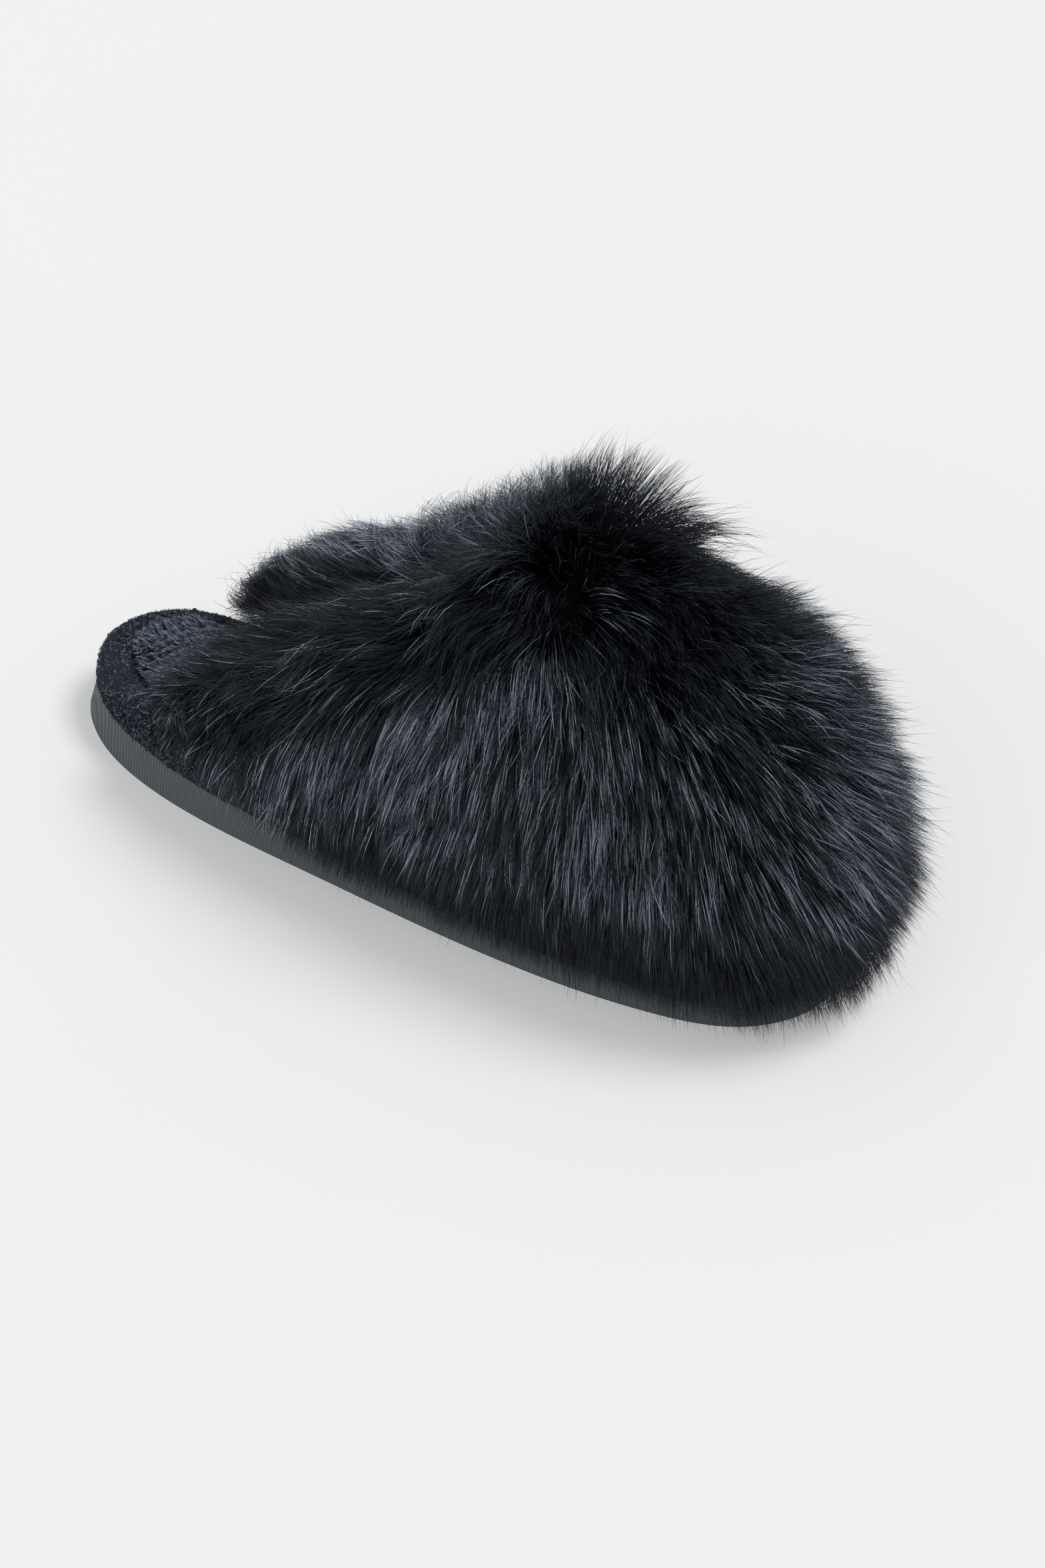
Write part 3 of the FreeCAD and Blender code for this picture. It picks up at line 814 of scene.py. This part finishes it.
def make_backing(material):
    """The fur's fabric backing: a closed skin under the pile of vamp and cuff."""
    turns = np.linspace(-1, 1, 141)
    rises = np.linspace(0, 1, 41)
    grid_turn, share = np.meshgrid(turns, rises, indexing="ij")
    rise = share * (cuff_start(grid_turn) + 0.02)
    outer = upper(grid_turn, rise, backing_depth(grid_turn, rise) + 0.01)
    inner = upper(grid_turn, rise, backing_depth(grid_turn, rise) + 0.05)
    piece = closed_sheet("fur_backing", outer, inner)
    piece.data.materials.append(material)
    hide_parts("fur_vamp")

    folds = np.linspace(0, 1, 41)
    grid_turn, fold = np.meshgrid(turns, folds, indexing="ij")
    skin = cuff_surface(grid_turn, fold)
    ring = skin.reshape(-1, 3)
    faces = grid_faces(len(turns), len(folds), close_columns=True)
    faces.append(tuple(range(len(folds)))[::-1])
    faces.append(tuple((len(turns) - 1) * len(folds) + k for k in range(len(folds))))
    cuff = add_mesh("collar_backing", ring, faces)
    cuff.data.materials.append(material)
    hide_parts("fur_collar")


def closed_sheet(name, outer, inner):
    """Closed thin shell between two grids of points."""
    rows, columns = outer.shape[:2]
    points = np.concatenate([outer.reshape(-1, 3), inner.reshape(-1, 3)])
    shift = rows * columns
    faces = grid_faces(rows, columns)
    faces += [tuple(reversed(face)) for face in grid_faces(rows, columns, start=shift)]
    rim = ([i * columns for i in range(rows)]
           + [(rows - 1) * columns + j for j in range(1, columns)]
           + [i * columns + columns - 1 for i in range(rows - 2, -1, -1)]
           + [j for j in range(columns - 2, 0, -1)])
    for k in range(len(rim)):
        a, b = rim[k], rim[(k + 1) % len(rim)]
        faces.append((a, b, b + shift, a + shift))
    return add_mesh(name, points, faces)


def make_lining(material):
    """Plush lining, between two depths close to the inside of the upper."""
    turns = np.linspace(-1, 1, 161)
    rises = np.linspace(0, 1, 61)
    grid_turn, share = np.meshgrid(turns, rises, indexing="ij")
    rise = share * (cuff_start(grid_turn) - 0.01)
    outer = upper(grid_turn, rise, np.full_like(rise, 0.88))
    inner = upper(grid_turn, rise, np.full_like(rise, 0.995))
    nubs = ripple(inner, 4 * MM, 31) * 0.35 * MM
    inner = inner + nubs[..., None] * [0, 0, 1]
    piece = closed_sheet("lining_plush", outer, inner)
    piece.data.materials.append(material)
    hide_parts("plush_lining")


# --- platform

def loft(name, rings):
    """Closed solid through rings of points, from the lowest ring upwards."""
    count = rings[0].shape[0]
    points = np.concatenate(rings)
    faces = grid_faces(len(rings), count, close_columns=True)
    faces.append(tuple(range(count))[::-1])
    faces.append(tuple((len(rings) - 1) * count + k for k in range(count)))
    return add_mesh(name, points, faces)


def ring_at(inset, height_of, count=720):
    flat = outline(inset, count)
    return np.column_stack([flat, height_of(flat[:, 0])])


def cover_profile():
    """Outside of the fleece border as (inset, height above the outsole), from the bottom of
    its side wall, over the rounded edge, to the ditch round the footbed."""
    wall = [(0.0, height) for height in np.linspace(0.2 * MM, COVER_HEIGHT - COVER_ROUND, 10)]
    bend = [(COVER_ROUND * (1 - math.cos(angle)),
             COVER_HEIGHT - COVER_ROUND * (1 - math.sin(angle)))
            for angle in np.linspace(0, np.pi / 2, 14)[1:]]
    top = [(inset, COVER_HEIGHT) for inset in np.linspace(COVER_ROUND, BORDER - 0.8 * MM, 12)[1:]]
    return wall + bend + top + [(BORDER - 0.3 * MM, COVER_HEIGHT - 0.25 * MM),
                                (BORDER, COVER_HEIGHT - 0.9 * MM),
                                (BORDER, COVER_HEIGHT - 2.0 * MM)]


def make_cover(material):
    """Fleece wrapped round the platform, with nubs."""
    count = 1300
    outside = cover_profile()
    inside = [(BORDER - 1.6 * MM, COVER_HEIGHT - 2.1 * MM), (BORDER - 1.6 * MM, 0.2 * MM)]
    grid = np.stack([ring_at(inset, lambda x, lift=lift: sole_top(x) + lift, count)
                     for inset, lift in outside + inside])
    around = np.roll(grid, -1, 1) - np.roll(grid, 1, 1)
    normal = unit(np.cross(around, np.gradient(grid, axis=0)))
    nubs = (np.abs(ripple(grid, 1.5 * MM, 61, 40)) * 0.30 * MM
            + ripple(grid, 16 * MM, 67) * 0.22 * MM)
    nubs[len(outside):] = 0
    grid = grid + normal * nubs[..., None]
    faces = grid_faces(len(grid), count, close_rows=True, close_columns=True)
    cover = add_mesh("fleece_border", grid.reshape(-1, 3), faces)
    cover.data.materials.append(material)
    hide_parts("platform_cover")


def heel_weight(x):
    """Where the platform shows: everything at the heel, little under the upper."""
    return mix(1.0, 0.16, smooth_step(x, UPPER_BACK + 15 * MM, UPPER_BACK + 50 * MM))


def fleece_fuzz(shades):
    """Short curly fibres over the fleece border."""
    count = int(SHORT_FIBRES * SHARE)
    profile = np.array(cover_profile()[:-2])
    steps = np.linalg.norm(np.diff(profile, axis=0), axis=1)
    way = np.concatenate([[0], np.cumsum(steps)])
    picks = RANDOM.integers(0, len(FOOT), count * 6)
    keep = RANDOM.uniform(0, 1, len(picks)) < heel_weight(FOOT[picks, 0])
    picks = picks[keep][:count]
    place = RANDOM.uniform(0, way[-1], len(picks))
    inset = np.interp(place, way, profile[:, 0])
    lift = np.interp(place, way, profile[:, 1])
    slope = np.stack([np.interp(place, way, np.gradient(profile[:, i], way)) for i in range(2)], 1)
    out = FOOT_OUT[picks] * slope[:, 1:]
    normal = unit(np.column_stack([out, slope[:, 0]]))
    root = np.column_stack([FOOT[picks] - FOOT_OUT[picks] * (FLARE + inset)[:, None], 0 * lift])
    root[:, :2] += RANDOM.normal(size=(len(root), 2)) * 0.1 * MM
    root[:, 2] = sole_top(root[:, 0]) + lift
    lengths = RANDOM.uniform(0.9, 1.9, len(root)) * MM
    flow = RANDOM.normal(size=root.shape) + ripple_vector(root, 2.5 * MM, 91) * 1.5
    paths = grow_short(root - normal * 0.15 * MM, normal, flow, lengths,
                       RANDOM.uniform(0.35, 0.85, len(root)) * lengths)
    tufts = locks_of(root, int(6500 * SHARE), 92)
    paths = gather(paths, tufts, 0.75, 1.0, 92)
    tints = pick_tints(0.50 + 0.1 * ripple(root, 9 * MM, 93) + per_lock(tufts, 90, -0.7, 0.7), 94)
    split_into_pieces("fleece_fuzz", paths, root[:, 0], tints, radii(0.06, 0.10, len(root)),
                      shades, "platform_cover")


def grow_short(roots, normals, flow, lengths, heights):
    """Short fibres: a root, two bends and a tip."""
    flow = unit(flow - normals * dot(flow, normals))
    rest = np.sqrt(np.maximum(lengths ** 2 - heights ** 2, 0))
    places = [roots]
    for up, out in ((0.42, 0.12), (0.80, 0.48), (1.0, 1.0)):
        places.append(roots + normals * (heights * up)[:, None] + flow * (rest * out)[:, None])
    return np.stack(places, 1)


SOCK_LEAN = np.array([-0.95, -0.30, 0.0])


def sock_rows(points):
    """Height of the footbed's wavy rows of tufts, from -1 to 1."""
    across = points @ np.array([0.86, -0.50, 0.0]) + 1.3 * MM * ripple(points, 13 * MM, 81)
    along = points @ np.array([0.50, 0.86, 0.0]) + 0.9 * MM * ripple(points, 9 * MM, 82)
    rows = np.sin(across * 2 * np.pi / (3.6 * MM))
    tufts = np.sin(along * 2 * np.pi / (4.4 * MM) + rows * 0.8)
    return 0.62 * rows + 0.38 * tufts


def make_sock(material):
    """Plush footbed: a crowned pad whose edge is pressed against the border."""
    sides = [(0.5 * MM, -2.2 * MM), (0.1 * MM, -1.6 * MM), (0.0, -0.4 * MM),
             (0.0, SOCK_RISE - SOCK_ROUND)]
    bend = [(SOCK_ROUND * (1 - math.cos(angle)), SOCK_RISE - SOCK_ROUND * (1 - math.sin(angle)))
            for angle in np.linspace(0, np.pi / 2, 7)[1:]]
    rings = [ring_at(SOCK_INSET + move, lambda x, lift=lift: deck(x) + lift - SOCK_SINK,
                     SOCK_STEPS) for move, lift in sides + bend]
    rim = rings[-1]
    middle = rim.copy()
    middle[:, 0] = np.clip(rim[:, 0], rim[:, 0].min() + 32 * MM, rim[:, 0].max() - 38 * MM)
    low = np.interp(middle[:, 0], *half_outline(rim, -1))
    high = np.interp(middle[:, 0], *half_outline(rim, 1))
    middle[:, 1] = (low + high) / 2
    middle[:, 2] = deck(middle[:, 0]) + SOCK_RISE - SOCK_SINK
    for share in np.linspace(0, 0.98, 26)[1:]:
        rings.append(mix(rim, middle, share))
    sock = loft("sock_pad", rings)
    puff(sock)
    sock.data.materials.append(material)
    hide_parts("plush_sock")


def half_outline(rim, side):
    """x and y of the inner or outer half of an outline, x rising."""
    chosen = rim[(rim[:, 1] - rim[:, 1].mean()) * side > 0]
    order = np.argsort(chosen[:, 0])
    return chosen[order, 0], chosen[order, 1]


def puff(piece):
    """Lets the pad swell under a little pressure, so that its skin is soft and uneven."""
    most, frames = 0.7 * MM, 10
    rest = np.array([vertex.co for vertex in piece.data.vertices])
    cloth = piece.modifiers.new("swell", "CLOTH")
    cloth.settings.use_pressure = True
    cloth.settings.uniform_pressure_force = 4.0
    cloth.settings.tension_stiffness = 40.0
    cloth.settings.effector_weights.gravity = 0.0
    cloth.settings.quality = 4
    cloth.point_cache.frame_end = frames
    for frame_number in range(1, frames + 1):
        bpy.context.scene.frame_set(frame_number)
    shape = piece.evaluated_get(bpy.context.evaluated_depsgraph_get())
    swollen = np.array([vertex.co for vertex in shape.data.vertices])
    move = swollen - rest
    size = np.linalg.norm(move, axis=1, keepdims=True)
    move *= np.minimum(1, most / np.maximum(size, 1e-9))
    piece.modifiers.remove(cloth)
    piece.data.vertices.foreach_set("co", (rest + move).reshape(-1))
    piece.data.update()
    bpy.context.scene.frame_set(1)


def sock_pile(shades):
    """The footbed's plush: short fibres in tufts, in wavy rows that lie towards the heel."""
    count = int(SHORT_FIBRES * SHARE)
    rim = outline(SOCK_INSET, SOCK_STEPS)
    spots = RANDOM.uniform([rim[:, 0].min(), rim[:, 1].min()],
                           [rim[:, 0].max(), rim[:, 1].max()], (count * 9, 2))
    edge = np.minimum(spots[:, 1] - np.interp(spots[:, 0], *half_outline(rim, -1)),
                      np.interp(spots[:, 0], *half_outline(rim, 1)) - spots[:, 1])
    keep = (edge > 0) & (RANDOM.uniform(0, 1, len(spots)) < heel_weight(spots[:, 0]))
    spots, edge = spots[keep][:count], edge[keep][:count]
    edge = np.minimum(edge, spots[:, 0] - rim[:, 0].min())
    root = np.column_stack([spots, deck(spots[:, 0]) + SOCK_RISE - 1.0 * MM])
    round_off = 1 - np.clip(edge / SOCK_ROUND, 0, 1)
    root[:, 2] -= 2.2 * MM * (1 - np.sqrt(1 - round_off ** 2))
    wave = sock_rows(root)
    normal = unit(np.array([0, 0, 1.0]) + np.zeros_like(root))
    flow = (SOCK_LEAN + ripple_vector(root, 12 * MM, 95) * 0.35
            + RANDOM.normal(size=root.shape) * 0.25)
    lengths = RANDOM.uniform(2.6, 3.8, len(root)) * MM * (1 + 0.12 * wave)
    heights = np.clip(1.9 + 1.25 * wave, 0.5, None) * MM * RANDOM.uniform(0.85, 1.1, len(root))
    paths = grow_short(root, normal, flow, lengths, heights)
    tufts = locks_of(root, int(5000 * SHARE), 96)
    paths = gather(paths, tufts, 0.80, 0.9, 96)
    # Painted light and shade: tufts on the rows' crests are tinted lighter and those in the
    # troughs between them darker, over random tone per tuft.
    tints = pick_tints(0.56 + 0.42 * wave + per_lock(tufts, 98, -0.3, 0.3), 97)
    split_into_pieces("sock_pile", paths, root[:, 0], tints, radii(0.08, 0.12, len(root)),
                      shades, "plush_sock")


def make_outsole(material):
    """Wedge with rounded edges, whose side leans out towards the ground."""
    lower_edge = [(0.5 * MM, 0.0), (0.15 * MM, 0.12 * MM), (0.0, 0.5 * MM)]
    levels = []
    for inset, lift in lower_edge:
        levels.append(ring_at(inset - FLARE, lambda x, lift=lift: 0 * x + lift))
    for share in np.linspace(0.08, 0.94, 8):
        levels.append(ring_at(FLARE * share - FLARE,
                              lambda x, share=share: sole_top(x) * share))
    levels.append(ring_at(0.12 * MM, lambda x: sole_top(x) - 0.12 * MM))
    levels.append(ring_at(0.5 * MM, sole_top))
    sole = loft("sole_wedge", levels)
    sole.data.materials.append(material)
    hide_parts("outsole")


# --- stage

def make_stage():
    """Pale floor that glows a little, like a light table, under two wide soft suns."""
    material, shader = new_material("studio_floor", (0.53, 0.53, 0.53), 1.0, specular=0.0)
    nodes = Nodes(material)
    pale = [(0.3, (0.53, 0.53, 0.53)), (0.7, (0.54, 0.54, 0.54))]
    nodes.link(nodes.ramp(nodes.noise(2.0), pale), shader.inputs["Base Color"])
    shader.inputs["Emission Color"].default_value = (1.0, 1.0, 1.0, 1.0)
    shader.inputs["Emission Strength"].default_value = 0.30
    side = 8.0
    mesh = bpy.data.meshes.new("floor")
    mesh.from_pydata([(-side, -side, 0), (side, -side, 0), (side, side, 0), (-side, side, 0)],
                     [], [(0, 1, 2, 3)])
    mesh.materials.append(material)
    floor = bpy.data.objects.new("floor", mesh)
    bpy.context.scene.collection.objects.link(floor)

    world = bpy.data.worlds.new("studio")
    world.use_nodes = True
    tree = world.node_tree
    background = tree.nodes["Background"]
    background.inputs["Color"].default_value = (0.97, 0.985, 1.0, 1)
    light_share, seen_extra = 0.50, 0.37       # where it is seen, it is as pale as the floor
    ray = tree.nodes.new("ShaderNodeLightPath")
    strength = tree.nodes.new("ShaderNodeMath")
    strength.operation = "MULTIPLY_ADD"
    tree.links.new(ray.outputs["Is Camera Ray"], strength.inputs[0])
    strength.inputs[1].default_value = seen_extra
    strength.inputs[2].default_value = light_share
    tree.links.new(strength.outputs[0], background.inputs["Strength"])
    bpy.context.scene.world = world
    bpy.context.scene.view_settings.view_transform = "Standard"
    for name, way, spread, power in (("key", (0.35, 0.30, 1.0), 26.0, 1.70),
                                     ("side", (-0.15, -0.9, 0.45), 40.0, 0.75)):
        lamp = bpy.data.lights.new(name, "SUN")
        lamp.angle = math.radians(spread)
        lamp.energy = power
        light = bpy.data.objects.new(name, lamp)
        light.location = Vector(way)
        light.rotation_mode = "QUATERNION"
        light.rotation_quaternion = (-Vector(way)).to_track_quat("-Z", "Y")
        bpy.context.scene.collection.objects.link(light)


def make_camera():
    """Seen from the outer side, a little from behind and above, and turned in its frame."""
    azimuth, elevation, roll = (math.radians(angle) for angle in (18.95, 37.69, 11.14))
    aim, distance = Vector((0.0166, -0.0166, 0.0421)), 1.1926
    back = Vector((math.sin(azimuth) * math.cos(elevation),
                   -math.cos(azimuth) * math.cos(elevation), math.sin(elevation)))
    lens = bpy.data.cameras.new("camera")
    lens.lens = 89.23
    lens.sensor_width = 36.0
    camera = bpy.data.objects.new("camera", lens)
    camera.location = aim + back * distance
    camera.rotation_mode = "QUATERNION"
    turn = (-back).to_track_quat("-Z", "Y")
    camera.rotation_quaternion = turn @ Quaternion((0, 0, 1), roll)
    bpy.context.scene.collection.objects.link(camera)
    bpy.context.scene.camera = camera


# --- inner CAD pieces

def dress_cad_nodes():
    """Materials of the pieces that are kept as they are."""
    foam = cloth_material("foam_cells", (0.50, 0.50, 0.47), (0.66, 0.66, 0.63), 1400.0, 0.15 * MM,
                          sheen=0.0)
    # The padding foam is coloured near black.
    dark_padding = cloth_material("dark_padding_foam", (0.006, 0.007, 0.010), (0.016, 0.018, 0.024), 1400.0,
                          0.15 * MM, sheen=0.0)
    board = cloth_material("fibre_board", (0.22, 0.18, 0.13), (0.40, 0.34, 0.26), 260.0,
                           0.05 * MM, sheen=0.0)
    tape = cloth_material("woven_tape", (0.008, 0.009, 0.012), (0.022, 0.025, 0.031), 2600.0,
                          0.1 * MM)
    thread = cloth_material("twisted_thread", (0.004, 0.005, 0.007), (0.014, 0.017, 0.022),
                            1800.0, 0.2 * MM)
    for node, material in (("bottom_board", board), ("midsole_foam", foam),
                           ("comfort_foam", foam), ("upper_padding", dark_padding),
                           ("collar_seam_tape", tape), ("footbed_seam_thread", thread)):
        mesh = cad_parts[node].data
        mesh.materials.clear()
        mesh.materials.append(material)


# --- build

make_camera()
make_stage()
dress_cad_nodes()
dark_cloth = cloth_material("fur_backing_cloth", (0.0010, 0.0012, 0.0018),
                            (0.0026, 0.0032, 0.0046), 600.0, 0.2 * MM, sheen=0.0)
fleece = cloth_material("fleece_cloth", (0.0048, 0.0060, 0.0088), (0.036, 0.043, 0.058),
                        900.0, 0.3 * MM, sheen=0.0)
plush = cloth_material("plush_cloth", (0.010, 0.012, 0.018), (0.045, 0.054, 0.073),
                       500.0, 0.4 * MM, sheen=0.0)
make_outsole(sole_material())
make_cover(fleece)
fleece_fuzz(shade_set("fleece_fibre", FLEECE_TINTS, 0.7, 0.25))
make_sock(plush)
sock_pile(shade_set("plush_fibre", PLUSH_TINTS, 0.6, 0.3))
make_backing(dark_cloth)
make_lining(plush)
make_fur(shade_set("fur", FUR_TINTS, 0.24, 0.5))
